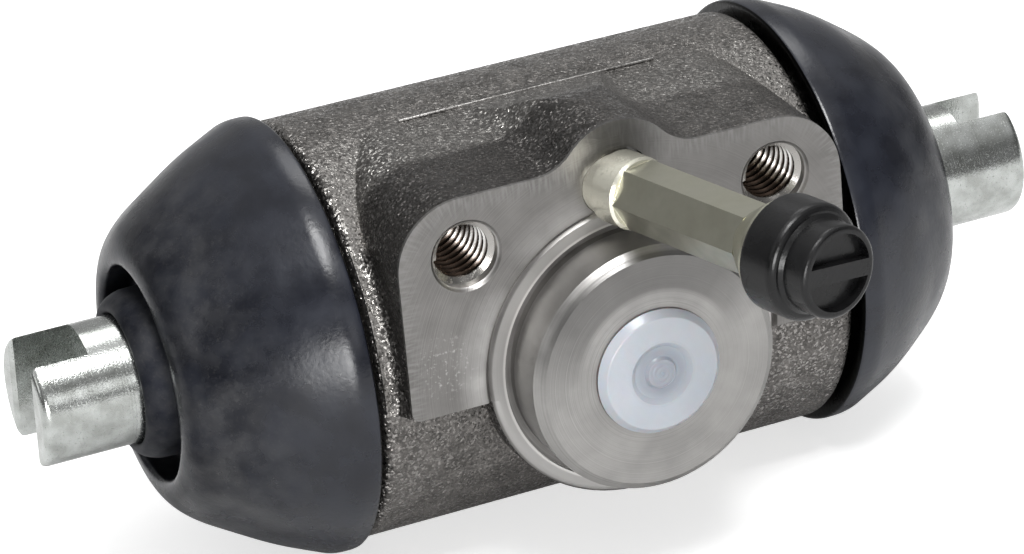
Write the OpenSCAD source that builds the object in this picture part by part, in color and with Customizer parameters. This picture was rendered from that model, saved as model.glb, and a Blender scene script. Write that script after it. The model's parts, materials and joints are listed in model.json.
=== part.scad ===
// Drum brake wheel cylinder. A cast iron body carries a faced mounting pad with a pilot spigot.
// Two opposed pistons push slotted thrust pins out through rubber boots.
// The origin is where the axis of the pilot spigot meets the pad face.
// X runs along the bore, -Y points out of the pad face and Z is up as fitted.

/* [Barrel] */
// Diameter of the bore
bore_d = 34.92; // [32:0.01:37]
// Outside diameter of the cast barrel
barrel_d = 51; // [49:0.1:55]
// Length of the barrel between its end shoulders
barrel_len = 60.4; // [60:0.2:70]
// Edge radius of the barrel's end shoulders
shoulder_r = 1.2; // [0.5:0.1:2]
// Length of the turned neck beyond each shoulder
neck_len = 6.8; // [6:0.1:9]
// Wall of the neck around the bore
neck_wall = 4.5; // [4:0.1:5.5]
// Depth of the boot groove in the neck
groove_depth = 1.4; // [0.8:0.1:2]
// Width of the boot groove in the neck
groove_w = 2.6; // [2:0.1:3.4]
// Chamfer at each mouth of the bore
bore_chamfer = 1.2; // [0.5:0.1:2]

/* [Mounting pad] */
// Distance from the bore axis to the pad face
pad_reach = 28.5; // [27.5:0.1:32]
// Width of the pad across both ears
pad_w = 55.8; // [55:0.2:60]
// Height of the bore axis above the lower edge of the ears
ear_drop = 0.8; // [0:0.1:4]
// Depth of the ears' top below the top of the barrel
ear_inset = 0.2; // [0.1:0.1:1]
// Corner radius of the ears
ear_corner_r = 8; // [6:0.5:9]
// Radius of the cast root fillet beside the ears
ear_root_r = 2; // [1:0.1:2.2]
// Distance between the two mounting holes
bolt_spacing = 39; // [37:0.5:40]
// Height of the mounting holes above the bore axis
bolt_rise = 18.1; // [17.5:0.1:19]
// Diameter of the mounting holes, to the root of the thread
bolt_d = 8; // [6:0.1:8.4]
// Depth of the mounting holes
bolt_depth = 14.5; // [10:0.5:15]
// Width of the countersink at the mouth of each mounting hole
bolt_csk = 0.4; // [0.2:0.1:1]

/* [Pilot spigot and inlet port] */
// Height of the spigot axis above the bore axis
pilot_rise = 1.2; // [0:0.1:2]
// Diameter of the pilot spigot
pilot_d = 30.4; // [29:0.1:32]
// Height of the pilot spigot above the pad face
pilot_h = 6.7; // [5:0.1:10]
// Chamfer at the front edge of the spigot
pilot_chamfer = 1.1; // [0.4:0.1:1.5]
// Diameter of the cast collar round the spigot
collar_d = 36.4; // [36:0.2:42]
// Width of the turned groove at the root of the spigot
root_groove_w = 1; // [0.6:0.1:1.1]
// Depth of the turned groove at the root of the spigot
root_groove_depth = 0.8; // [0.4:0.1:1.5]
// Depth of the fine line turned at the edge of the collar
collar_line = 0.4; // [0.2:0.1:0.6]
// Diameter of the inlet port, to the root of the thread
port_d = 10; // [8:0.1:12]
// Depth of the threaded inlet port
port_depth = 12.5; // [10:0.5:13]
// Diameter of the drilled feed into the bore
feed_d = 3; // [2:0.5:4]

/* [Inlet plug] */
// Diameter of the plug's flange
plug_flange_d = 15.4; // [14.6:0.1:18]
// Diameter of the plug's face
plug_face_d = 14.2; // [13:0.1:14.4]
// Thickness of the plug's flange
plug_flange_t = 1.2; // [1:0.1:2]
// Length of the plug's stem in the port
plug_stem_len = 8; // [5:0.5:9]
// Clearance round the plug's stem
plug_clear = 0.25; // [0.1:0.05:0.5]

/* [Bleed boss and screw] */
// Sideways tilt of the bleed screw from the pad's normal
bleed_tilt = 16.5; // [10:0.5:20]
// Sideways offset of the bleed screw at the pad face
bleed_x = -0.8; // [-1.5:0.1:0.5]
// Height of the bleed screw above the bore axis
bleed_rise = 22.3; // [21.5:0.1:23]
// Radius of the cast bleed boss
bleed_boss_r = 7.7; // [7:0.1:8.2]
// Radius of the fillet where the boss meets the ears
bleed_boss_fillet = 6; // [3:0.5:7]
// Diameter of the screw's round collar
bleed_collar_d = 8.7; // [8:0.1:9]
// Distance of the collar's front from the pad face
bleed_collar_len = 4.5; // [3:0.1:6]
// Distance of the collar's back from the pad face
bleed_stand = 0.6; // [0.4:0.1:1]
// Diameter of the screw's thread, drawn at its crest
bleed_thread_d = 7.6; // [7:0.1:7.8]
// Width across the flats of the screw's hexagon
bleed_hex = 7.2; // [6:0.1:7.4]
// Length of the hexagon
bleed_hex_len = 19.4; // [12:0.1:22]
// Diameter of the shoulder that stops the cap
bleed_shoulder_d = 12; // [10:0.1:12.6]
// Length of the cone behind the shoulder
bleed_cone_len = 3.6; // [2:0.1:5]
// Diameter of the nipple's barb
nipple_d = 7; // [6:0.1:8]
// Length of the nipple in front of the shoulder
nipple_len = 6.5; // [4:0.1:7]
// Depth of the screw below the pad face
bleed_depth = 12; // [9:0.5:13]

/* [Bleed cap] */
// Diameter of the cap's skirt
cap_skirt_d = 13.5; // [12.8:0.1:15]
// Length of the cap's skirt
cap_skirt_len = 5.4; // [4:0.1:7]
// Diameter of the cap's tip
cap_tip_d = 10.7; // [10:0.1:12]
// Length of the cap's tip
cap_tip_len = 3.7; // [3:0.1:5]
// Depth of the two recesses in the cap's end
cap_recess = 1.2; // [0.5:0.1:1.3]
// Width of the bar between the two recesses
cap_bar = 2; // [1:0.1:3]
// Turn of the bar about the cap's axis
cap_turn = -9.5; // [-20:0.5:20]

/* [Pistons] */
// Running clearance of the pistons in the bore
piston_clear = 0.04; // [0.02:0.01:0.08]
// Length of each piston
piston_len = 18; // [15:0.5:19]
// Distance of each piston's outer end inside the neck
piston_inset = 2.5; // [1:0.1:4]
// Depth of the pin socket in each piston
socket_depth = 9; // [6:0.5:11]
// Distance that the right piston set stands pushed in
right_push = 1.8; // [0:0.1:3]
// Length of each cup seal
cup_len = 6.4; // [5:0.1:7]
// Wall of the cup seal's lip
cup_lip = 1.6; // [1.2:0.1:2.2]
// Wire diameter of the return spring
spring_wire = 1.4; // [1:0.1:1.8]
// Outside diameter of the return spring
spring_d = 19; // [16:0.5:20]
// Number of coils in the return spring
spring_turns = 4.5; // [3.5:0.5:6]

/* [Thrust pins] */
// Diameter of each thrust pin
pin_d = 15.5; // [14.5:0.1:16.5]
// Length of the pin in front of the boot
pin_show = 12; // [9:0.1:16]
// Edge radius at the end of the pin
pin_edge_r = 1; // [0.4:0.1:1.5]
// Width of the slot in the pin's end
slot_w = 7.4; // [5.6:0.1:8]
// Turn of the left pin about its axis
left_pin_turn = 7; // [-7:0.5:7]
// Depth of the slot in the pin's end
slot_depth = 7.2; // [6:0.1:9]
// Chamfer along the mouth of the slot
slot_chamfer = 0.5; // [0.2:0.1:0.8]

/* [Boots] */
// Gap between the barrel's shoulder and the boot's rim
boot_gap = 0.8; // [0.3:0.1:1]
// Height of the boot's rim above the barrel
rim_stand = 1; // [0.4:0.1:2]
// Width of the boot's straight rim
rim_w = 4.2; // [3:0.1:5]
// Length of the boot from its rim to its lip
boot_len = 20; // [19:0.1:24]
// Slope of the boot's side
boot_slope = 31.2; // [28:0.1:34]
// Wall of the boot
boot_wall = 2.1; // [1.6:0.1:2.3]
// Diameter of the boot's open lip
lip_d = 26; // [24:0.2:27]
// Depth of the fold between the lip and the neck
fold_depth = 4.8; // [3:0.1:5.5]
// Wall of the boot's neck on the pin
boot_neck_wall = 2.4; // [1.6:0.1:2.6]
// Wall of the neck at its outer end
boot_neck_edge = 0.7; // [0.5:0.1:1.4]
// Length of the boot's neck in front of the lip
boot_neck_out = 2.3; // [1:0.1:4]
// Clearance of the boot on the metal
boot_clear = 0.15; // [0.1:0.05:0.25]

/* [Hidden] */
$fn = 96;
overlap = 0.5;
bore_r = bore_d / 2;
barrel_r = barrel_d / 2;
neck_r = bore_r + neck_wall;
groove_r = neck_r - groove_depth;
shoulder_x = barrel_len / 2;
casting_x = shoulder_x + neck_len;
axis_y = pad_reach;
axis_z = -pilot_rise;
ear_x = pad_w / 2;
ear_top = barrel_r - ear_inset;
pilot_r = pilot_d / 2;
collar_r = collar_d / 2;
collar_edge_r = 1;
drill_cone = 31;

// Where the boot's rim, lip and neck stand along the bore
rim_x = shoulder_x + boot_gap;
rim_r = barrel_r + rim_stand;
lip_x = rim_x + boot_len;
lip_r = lip_d / 2;
boot_neck_x = lip_x + boot_neck_out;
groove_x = rim_x + 1.2;

// Where the piston train stands along the bore
pin_r = pin_d / 2;
pin_tip_x = boot_neck_x + pin_show;
piston_r = bore_r - piston_clear;
piston_out_x = casting_x - piston_inset;
piston_in_x = piston_out_x - piston_len;
pin_root_x = piston_out_x - socket_depth;
socket_clear = 0.15;
cup_clear = 0.1;
cup_in_x = piston_in_x - cup_len;
cup_base = 2.6;
expander_t = 0.8;
expander_flange_r = bore_r - cup_lip - 1.6;
expander_x = cup_in_x + 1.4;
spring_mean_r = (spring_d - spring_wire) / 2;
spring_gap = 0.1;

// Where the bleed screw's lengths begin and end, counted from the pad face
bleed_shoulder_s = bleed_collar_len + bleed_hex_len + bleed_cone_len;
bleed_land = 0.4;
nipple_s = bleed_shoulder_s + bleed_land;
cap_seat_gap = 0.3;
cap_s = nipple_s + cap_seat_gap;
cap_bore_clear = 0.3;
bleed_thread_clear = 0.05;
spot_clear = 0.3;
bleed_seat_d = 3;
bleed_feed_d = 2;
bleed_bore_d = 2;
bleed_z = bleed_rise - pilot_rise;
hex_corner = 2 / sqrt(3);

// Points of a circular arc, from angle a0 to angle a1
function arc(cx, cy, r, a0, a1, steps = 8) =
    [for (i = [0 : steps]) let (a = a0 + (a1 - a0) * i / steps) [cx + r * cos(a), cy + r * sin(a)]];

// Points of a curve that leaves p0 towards p1 and arrives at p2 from p1
function bend(p0, p1, p2, steps = 10) =
    [for (i = [0 : steps]) let (t = i / steps) (1 - t) * (1 - t) * p0 + 2 * t * (1 - t) * p1 + t * t * p2];

// Moves children from the bore's own frame, with its axis at zero, to the part's frame
module on_bore() {
    translate([0, axis_y, axis_z]) children();
}

// Turns a profile of [radius, x] points round the bore axis
module turned(profile) {
    on_bore() rotate([0, 90, 0]) rotate_extrude() polygon(profile);
}

// Extrudes an outline of [x, z] points backwards from the pad face
module pressed_back(outline, depth) {
    translate([0, depth, axis_z]) rotate([90, 0, 0]) linear_extrude(height = depth) polygon(outline);
}

// Stands children on the pad face with +Z along the bleed screw
module on_bleed() {
    translate([bleed_x, 0, bleed_z]) rotate([90, 0, bleed_tilt]) children();
}

// Stands children on the pad face with +Z along the pilot spigot
module on_pilot() {
    rotate([90, 0, 0]) children();
}

// Moves the right piston set to where it stands
module pushed_in() {
    translate([-right_push, 0, 0]) children();
}

module mirrored_pair() {
    children();
    mirror([1, 0, 0]) children();
}

// Half of a turned profile, continued as its mirror image on the other side of the middle
function both_ends(half) =
    concat(half, [for (i = [len(half) - 1 : -1 : 0]) [half[i][0], -half[i][1]]]);

module barrel() {
    edge = shoulder_r;
    turned(both_ends(concat([[0, casting_x]],
        [[neck_r - overlap, casting_x], [neck_r, casting_x - overlap]],
        [[neck_r, groove_x + groove_w], [groove_r, groove_x + groove_w]],
        [[groove_r, groove_x], [neck_r, groove_x], [neck_r, shoulder_x]],
        arc(barrel_r - edge, shoulder_x - edge, edge, 90, 0))));
}

// Outline of both ears, with their top just below the barrel's top
function ear_outline() = concat(
    arc(ear_x - ear_corner_r, ear_top - ear_corner_r, ear_corner_r, 0, 90, 16),
    arc(ear_corner_r - ear_x, ear_top - ear_corner_r, ear_corner_r, 90, 180, 16),
    arc(1 - ear_x, 1 - ear_drop, 1, 180, 270, 4),
    arc(ear_x - 1, 1 - ear_drop, 1, 270, 360, 4));

// Fillet between the side of an ear and the barrel, turned about the bore axis
module ear_root() {
    r = ear_root_r;
    foot = [[barrel_r - overlap, ear_x - overlap], [barrel_r + r, ear_x - overlap], [barrel_r + r, ear_x]];
    toe = concat(arc(barrel_r + r, ear_x + r, r, 270, 180), [[barrel_r - overlap, ear_x + r]]);
    intersection() {
        turned(concat(foot, toe));
        translate([0, 0, axis_z - ear_drop]) cube([2 * casting_x, axis_y, ear_top + ear_drop - ear_corner_r]);
    }
}

// Cast boss round the bleed screw, blended into the ears and fading into the barrel
module bleed_boss() {
    r = bleed_boss_r;
    f = bleed_boss_fillet;
    lift = ear_top - bleed_rise;
    foot_x = sqrt((r + f) * (r + f) - (lift + f) * (lift + f));
    blend = atan2(lift + f, foot_x);
    outline = concat(
        [[-foot_x, ear_top - overlap], [foot_x, ear_top - overlap]],
        arc(foot_x, ear_top + f, f, 270, 180 + blend),
        arc(0, bleed_rise, r, blend, 180 - blend, 16),
        arc(-foot_x, ear_top + f, f, 360 - blend, 270));
    top = bleed_rise + r;
    ridge = concat([[0, ear_top - 2 * overlap], [0, top]],
        bend([axis_y * 0.2, top], [axis_y * 0.45, top], [axis_y * 0.62, ear_top + lift / 2]),
        bend([axis_y * 0.62, ear_top + lift / 2], [axis_y * 0.8, ear_top], [axis_y, ear_top - 0.1]),
        [[axis_y, ear_top - 2 * overlap]]);
    intersection() {
        pressed_back(outline, axis_y);
        translate([-foot_x, 0, axis_z]) rotate([90, 0, 90]) linear_extrude(height = 2 * foot_x) polygon(ridge);
    }
}

// Collar and spigot, turned together round the pilot axis
module pilot() {
    e = collar_edge_r;
    c = pilot_chamfer;
    back = axis_y / 2;
    on_pilot() rotate_extrude() polygon(concat(
        [[0, -back], [collar_r, -back]],
        arc(collar_r - e, -e, e, 0, 90),
        [[pilot_r, 0], [pilot_r, pilot_h - c], [pilot_r - c, pilot_h], [0, pilot_h]]));
}

module root_groove() {
    on_pilot() rotate_extrude() polygon([[pilot_r, -root_groove_depth],
        [pilot_r + root_groove_w, -root_groove_depth], [pilot_r + root_groove_w, overlap], [pilot_r, overlap]]);
    on_pilot() rotate_extrude() polygon([[collar_r, -collar_line], [collar_r + collar_line, 0],
        [collar_r + collar_line, overlap], [collar_r - collar_line, overlap], [collar_r - collar_line, 0]]);
}

module mounting_holes() {
    r = bolt_d / 2;
    for (side = [-1, 1])
        translate([side * bolt_spacing / 2, 0, axis_z + bolt_rise]) rotate([90, 0, 0]) rotate_extrude() polygon([
            [0, -bolt_depth - r * tan(drill_cone)], [r, -bolt_depth], [r, -bolt_csk],
            [r + bolt_csk, 0], [r + bolt_csk, overlap], [0, overlap]]);
}

module inlet_port() {
    r = port_d / 2;
    on_pilot() rotate_extrude() polygon([
        [0, -axis_y], [feed_d / 2, -axis_y], [feed_d / 2, pilot_h - port_depth - (r - feed_d / 2) * tan(drill_cone)],
        [r, pilot_h - port_depth], [r, pilot_h - bolt_csk], [r + bolt_csk, pilot_h],
        [r + bolt_csk, pilot_h + overlap], [0, pilot_h + overlap]]);
}

// Stepped hole for the bleed screw with a spot face square to it, and a drilling down to the top of the bore
module bleed_hole() {
    r = bleed_thread_d / 2 + bleed_thread_clear;
    spot_r = bleed_collar_d / 2 + spot_clear;
    spot_s = bleed_stand - bleed_thread_clear;
    seat = bleed_seat_d / 2;
    end = -bleed_depth - bleed_thread_clear;
    on_bleed() rotate_extrude() polygon([
        [0, end - r], [seat, end - r], [seat, end - r + seat], [r, end], [r, spot_s],
        [spot_r, spot_s], [spot_r, bleed_collar_len], [0, bleed_collar_len]]);
    on_bleed() translate([0, 0, end - r + seat]) rotate([90, 0, 0]) cylinder(d = bleed_feed_d, h = bleed_rise);
}

module bore() {
    c = bore_chamfer;
    x = casting_x;
    turned(both_ends([[0, x + 1], [bore_r + c, x + 1], [bore_r + c, x], [bore_r, x - c]]));
}

module cylinder_body() {
    color("dimgray") difference() {
        union() {
            barrel();
            pressed_back(ear_outline(), axis_y);
            mirrored_pair() ear_root();
            bleed_boss();
            pilot();
        }
        bore();
        mounting_holes();
        root_groove();
        inlet_port();
        bleed_hole();
    }
}

// Rubber boot: a bead in the neck's groove, a coned wall, a rolled lip and a neck on the pin
module boot(push = 0) {
    boot_lip_x = lip_x - push;
    neck_x = boot_neck_x - push;
    in_r = neck_r + boot_clear;
    bead_r = groove_r + boot_clear;
    grip_r = pin_r + boot_clear;
    neck_out_r = grip_r + boot_neck_wall;
    cone_x = rim_x + rim_w;
    slope = tan(boot_slope) * (lip_x - cone_x) / (boot_lip_x - cone_x);
    nose_r = rim_r - slope * (boot_lip_x - cone_x);
    floor_x = boot_lip_x - fold_depth;
    inner_drop = boot_wall / cos(atan(slope));
    inner_x = casting_x + boot_wall / 2;
    back_x = floor_x - boot_wall;
    back_r = rim_r - slope * (back_x - cone_x) - inner_drop;
    edge = rim_stand / 2;
    sag = 3.4;
    roll = 5;
    taper = 3.2;
    rim = concat([[in_r, rim_x]], arc(rim_r - edge, rim_x + edge, edge, 270, 360, 4));
    shoulder = bend([rim_r, cone_x - sag / 2], [rim_r, cone_x], [rim_r - slope * sag, cone_x + sag]);
    nose = bend([nose_r + slope * roll, boot_lip_x - roll], [nose_r, boot_lip_x], [lip_r + 0.7, boot_lip_x]);
    lip = arc(lip_r + 0.7, boot_lip_x - 0.7, 0.7, 90, 180, 6);
    fold = [[lip_r + 0.4, floor_x + 0.4], [lip_r, floor_x], [neck_out_r + 0.4, floor_x], [neck_out_r, floor_x + 0.4]];
    neck = concat(
        bend([neck_out_r, neck_x - taper], [neck_out_r - 0.3, neck_x - 0.6], [grip_r + boot_neck_edge, neck_x], 6),
        [[grip_r, neck_x], [grip_r, back_x]]);
    inside = [[min(back_r, lip_r + boot_wall), back_x], [min(back_r, in_r), back_x - 1.6], [in_r, inner_x]];
    bead = [[in_r, groove_x + groove_w - boot_clear], [bead_r, groove_x + groove_w - boot_clear],
        [bead_r, groove_x + boot_clear], [in_r, groove_x + boot_clear]];
    color([0.1, 0.1, 0.11]) turned(concat(rim, shoulder, nose, lip, fold, neck, inside, bead));
}

// Slotted thrust pin, with the slot cut through its outer end, upright or turned a little
module thrust_pin(turn = 0) {
    e = pin_edge_r;
    c = slot_chamfer;
    w = slot_w / 2;
    slot = [[pin_tip_x + c, w + 2 * c], [pin_tip_x - c, w], [pin_tip_x - slot_depth, w],
        [pin_tip_x - slot_depth, -w], [pin_tip_x - c, -w], [pin_tip_x + c, -w - 2 * c]];
    color("silver") difference() {
        turned(concat([[0, pin_root_x], [pin_r - overlap, pin_root_x], [pin_r, pin_root_x + overlap]],
            arc(pin_r - e, pin_tip_x - e, e, 0, 90), [[0, pin_tip_x]]));
        on_bore() rotate([turn, 0, 0]) translate([0, 0, -pin_d]) linear_extrude(height = 2 * pin_d) polygon(slot);
    }
}

module piston() {
    socket_r = pin_r + socket_clear;
    color("lightgray") turned([
        [0, piston_in_x], [piston_r - overlap, piston_in_x], [piston_r, piston_in_x + overlap],
        [piston_r, piston_out_x - overlap], [piston_r - overlap, piston_out_x],
        [socket_r + overlap, piston_out_x], [socket_r, piston_out_x - overlap],
        [socket_r, pin_root_x], [0, pin_root_x]]);
}

// Rubber cup with its lip turned towards the fluid
module cup_seal() {
    r = bore_r - cup_clear;
    base_x = piston_in_x - cup_base;
    color([0.14, 0.14, 0.15]) turned([
        [0, piston_in_x], [r - 1, piston_in_x], [r - 0.4, piston_in_x - 1], [r, cup_in_x + 0.8],
        [r - 0.4, cup_in_x], [r - cup_lip, cup_in_x], [r - cup_lip - 1, base_x + 0.6],
        [r - cup_lip - 1.8, base_x], [0, base_x]]);
}

// Pressed steel dish that spreads the cup's lip and seats the spring
module expander() {
    base_x = piston_in_x - cup_base;
    hub_r = spring_mean_r - spring_wire / 2 - 0.6;
    t = expander_t;
    color("goldenrod") turned([
        [hub_r * 0.4, base_x], [hub_r * 0.4, base_x - t], [hub_r - t, base_x - t], [hub_r - t, expander_x - t],
        [expander_flange_r, expander_x - t], [expander_flange_r, expander_x], [hub_r, expander_x], [hub_r, base_x]]);
}

// Compression spring between the two expanders, swept along a helix
module return_spring() {
    sides = 10;
    steps = 24;
    half = expander_x - expander_t - spring_wire / 2 - spring_gap;
    count = ceil(spring_turns * steps);
    span = 2 * half - right_push;
    rings = [for (i = [0 : count]) let (a = 360 * spring_turns * i / count, x = span * i / count - half)
        [for (k = [0 : sides - 1]) let (b = 360 * k / sides, r = spring_mean_r + spring_wire / 2 * cos(b))
            [x + spring_wire / 2 * sin(b), r * cos(a), r * sin(a)]]];
    points = [for (ring = rings) each ring];
    walls = [for (i = [0 : count - 1], k = [0 : sides - 1]) let (n = (k + 1) % sides)
        each [[i * sides + k, (i + 1) * sides + k, i * sides + n],
            [i * sides + n, (i + 1) * sides + k, (i + 1) * sides + n]]];
    ends = [[for (k = [0 : sides - 1]) k], [for (k = [sides - 1 : -1 : 0]) count * sides + k]];
    color("slategray") on_bore() polyhedron(points, concat(walls, ends));
}

module bleed_screw() {
    r = bleed_thread_d / 2;
    collar_edge = bleed_collar_d / 2;
    e = 0.3;
    barb_r = nipple_d / 2;
    neck = barb_r - 0.7;
    cone_s = bleed_collar_len + bleed_hex_len;
    seat = bleed_seat_d / 2;
    color("darkkhaki") difference() {
        on_bleed() union() {
            rotate_extrude() polygon([[0, -bleed_depth - r + seat], [seat, -bleed_depth - r + seat], [r, -bleed_depth],
                [r, bleed_stand], [collar_edge - e, bleed_stand], [collar_edge, bleed_stand + e],
                [collar_edge, bleed_collar_len - e], [collar_edge - e, bleed_collar_len], [0, bleed_collar_len]]);
            translate([0, 0, bleed_collar_len - overlap])
                cylinder(d = bleed_hex * hex_corner, h = bleed_hex_len + 2 * overlap, $fn = 6);
            rotate_extrude() polygon([[0, cone_s], [bleed_hex / 2, cone_s], [bleed_shoulder_d / 2, bleed_shoulder_s],
                [bleed_shoulder_d / 2, nipple_s], [neck, nipple_s], [neck, nipple_s + nipple_len * 0.4],
                [barb_r, nipple_s + nipple_len * 0.5], [neck, nipple_s + nipple_len], [0, nipple_s + nipple_len]]);
        }
        on_bleed() cylinder(d = bleed_bore_d, h = nipple_s + nipple_len + 1);
    }
}

// Rubber dust cap with two half-round recesses in its end
module bleed_cap() {
    hole_r = nipple_d / 2 + cap_bore_clear;
    tip_s = cap_s + cap_skirt_len;
    end_s = tip_s + cap_tip_len;
    skirt_r = cap_skirt_d / 2;
    tip_r = cap_tip_d / 2;
    e = 0.6;
    rim = 0.9;
    color([0.08, 0.08, 0.08]) on_bleed() difference() {
        rotate_extrude() polygon(concat([[hole_r, cap_s]],
            arc(skirt_r - e, cap_s + e, e, 270, 360, 5), arc(skirt_r - 1, tip_s - 1, 1, 0, 90, 6),
            [[tip_r + 0.4, tip_s], [tip_r, tip_s + 0.4]], arc(tip_r - e, end_s - e, e, 0, 90, 5),
            [[0, end_s], [0, nipple_s + nipple_len + cap_bore_clear], [hole_r, nipple_s + nipple_len + cap_bore_clear]]));
        rotate([0, 0, cap_turn]) intersection() {
            translate([0, 0, end_s - cap_recess]) cylinder(r = tip_r - rim, h = cap_recess + 1);
            for (side = [-1, 1])
                translate([-tip_r, side > 0 ? cap_bar / 2 : -cap_bar / 2 - tip_r, end_s - cap_recess])
                    cube([2 * tip_r, tip_r, cap_recess + 1]);
        }
    }
}

// Moulded transport plug with a dished face and a centre pip
module inlet_plug() {
    flange_r = plug_flange_d / 2;
    stem_r = port_d / 2 - plug_clear;
    face_r = plug_face_d / 2;
    face = pilot_h + plug_flange_t;
    dish_r = face_r / 2;
    e = 0.3;
    color([0.86, 0.88, 0.92, 0.9]) on_pilot() rotate_extrude() polygon(concat(
        [[0, pilot_h - plug_stem_len + 2], [stem_r - 1.2, pilot_h - plug_stem_len + 2]],
        [[stem_r - 1.2, pilot_h - plug_stem_len], [stem_r - 0.4, pilot_h - plug_stem_len]],
        [[stem_r, pilot_h - plug_stem_len + 0.8], [stem_r, pilot_h], [flange_r - 0.2, pilot_h]],
        [[flange_r, pilot_h + 0.2], [flange_r, pilot_h + e]], arc(face_r - e, face - e, e, 30, 90, 5),
        [[dish_r + 0.3, face], [dish_r - 0.3, face - 0.5], [2, face - 0.5], [1.7, face - 0.1], [0, face]]));
}

cylinder_body();
mirror([1, 0, 0]) boot();  // left_boot
boot(right_push);  // right_boot
mirror([1, 0, 0]) thrust_pin(left_pin_turn);  // left_thrust_pin
pushed_in() thrust_pin();  // right_thrust_pin
mirror([1, 0, 0]) piston();  // left_piston
pushed_in() piston();  // right_piston
mirror([1, 0, 0]) cup_seal();  // left_cup_seal
pushed_in() cup_seal();  // right_cup_seal
mirror([1, 0, 0]) expander();  // left_expander
pushed_in() expander();  // right_expander
return_spring();
bleed_screw();
bleed_cap();
inlet_plug();
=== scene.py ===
# %% [markdown]
# Wheel cylinder of a drum brake: a cast iron body with a machined pad, two rubber boots, two slotted thrust
# pins, a bleed screw with its rubber cap, and a plastic plug in the inlet port.
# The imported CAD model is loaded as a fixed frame. Its metal pieces keep their shapes and get finishes here.
# The pieces that bend, and the threads, are modelled in this script.

# %% Load the frame
import bpy
import json
import math
from mathutils import Matrix, Vector

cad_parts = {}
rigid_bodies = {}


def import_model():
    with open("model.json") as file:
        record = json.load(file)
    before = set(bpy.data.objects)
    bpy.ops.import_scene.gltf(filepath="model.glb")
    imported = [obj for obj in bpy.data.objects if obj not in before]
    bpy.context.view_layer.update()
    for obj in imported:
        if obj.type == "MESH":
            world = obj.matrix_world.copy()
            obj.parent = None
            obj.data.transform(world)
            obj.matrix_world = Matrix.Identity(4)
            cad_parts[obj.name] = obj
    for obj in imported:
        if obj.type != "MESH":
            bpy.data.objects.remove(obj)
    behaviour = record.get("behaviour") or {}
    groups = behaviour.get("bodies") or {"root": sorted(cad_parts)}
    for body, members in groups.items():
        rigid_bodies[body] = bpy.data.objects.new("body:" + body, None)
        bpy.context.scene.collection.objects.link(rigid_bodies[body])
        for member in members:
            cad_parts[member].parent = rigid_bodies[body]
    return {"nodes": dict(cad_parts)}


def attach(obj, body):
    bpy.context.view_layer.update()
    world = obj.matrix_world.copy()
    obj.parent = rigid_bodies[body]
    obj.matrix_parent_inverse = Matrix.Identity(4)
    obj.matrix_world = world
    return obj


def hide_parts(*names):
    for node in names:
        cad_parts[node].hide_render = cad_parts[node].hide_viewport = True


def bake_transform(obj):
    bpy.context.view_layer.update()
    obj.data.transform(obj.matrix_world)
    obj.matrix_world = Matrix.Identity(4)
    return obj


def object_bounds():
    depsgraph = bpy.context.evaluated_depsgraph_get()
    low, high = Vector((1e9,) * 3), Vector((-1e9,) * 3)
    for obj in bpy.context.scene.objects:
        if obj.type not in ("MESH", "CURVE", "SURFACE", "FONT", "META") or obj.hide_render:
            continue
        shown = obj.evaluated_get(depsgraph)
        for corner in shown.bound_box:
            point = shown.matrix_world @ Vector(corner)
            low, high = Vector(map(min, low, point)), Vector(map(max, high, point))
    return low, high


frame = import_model()
cad_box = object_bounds()
print("nodes:", ", ".join(sorted(frame["nodes"])))
print("size in mm:", [round(1000 * side, 1) for side in cad_box[1] - cad_box[0]])

# %% [markdown]
# The frame's origin is where the axis of the pilot spigot meets the pad face. X runs along the bore, -Y points
# out of the pad and Z is up. The bore axis lies behind the pad and a little below the spigot's axis.

# %% Places on the part
MM = 0.001
BORE_Y = 28.5 * MM
BORE_Z = -1.2 * MM
BORE_MIDDLE = Vector((0, BORE_Y, BORE_Z))
BOLT_X = 19.5 * MM
BOLT_Z = 16.9 * MM
BLEED_FOOT = Vector((-0.8, 0, 21.1)) * MM
BLEED_AXIS = Vector((math.sin(math.radians(16.5)), -math.cos(math.radians(16.5)), 0))
FLOOR_Z = cad_box[0].z
print("bore axis at", tuple(round(v, 4) for v in BORE_MIDDLE), "floor at", round(FLOOR_Z, 4))

# %% [markdown]
# The camera stands where the photographer stood: to the left of the pad, looking down on it through a long lens.
# Its right, up and back directions are written out, because they also hold the slight roll of the picture.

# %% Camera
CAMERA_RIGHT = Vector((0.9111, -0.4042, -0.0807))
CAMERA_UP = Vector((0.2372, 0.3541, 0.9046))
CAMERA_BACK = Vector((-0.3371, -0.8433, 0.4185))
CAMERA_DISTANCE = 0.5875
CAMERA_LENS = 170.86
CAMERA_SHIFT = (-0.0221, -0.0060)

turn = Matrix((CAMERA_RIGHT, CAMERA_UP, CAMERA_BACK)).transposed()
stand = BORE_MIDDLE + CAMERA_BACK * CAMERA_DISTANCE
bpy.ops.object.camera_add(location=stand, rotation=turn.to_euler())
camera = bpy.context.object
camera.name = "camera"
camera.data.sensor_width = 36
camera.data.lens = CAMERA_LENS
camera.data.shift_x, camera.data.shift_y = CAMERA_SHIFT
bpy.context.scene.camera = camera
bpy.context.scene.view_settings.view_transform = "Standard"
print("camera at", tuple(round(v, 3) for v in camera.location))

# %% [markdown]
# Materials are node trees. A few short helpers keep them readable: one makes a node and fills its sockets with
# numbers or links, others do arithmetic, and one mixes two values by a mask.

# %% Helpers for node trees
def plug_in(tree, socket, value):
    if isinstance(value, bpy.types.NodeSocket):
        tree.links.new(value, socket)
    else:
        socket.default_value = value


def node(tree, kind, settings=None, **sockets):
    made = tree.nodes.new("ShaderNode" + kind)
    for name, value in (settings or {}).items():
        setattr(made, name, value)
    for name, value in sockets.items():
        plug_in(tree, made.inputs[name.replace("_", " ")], value)
    return made


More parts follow.
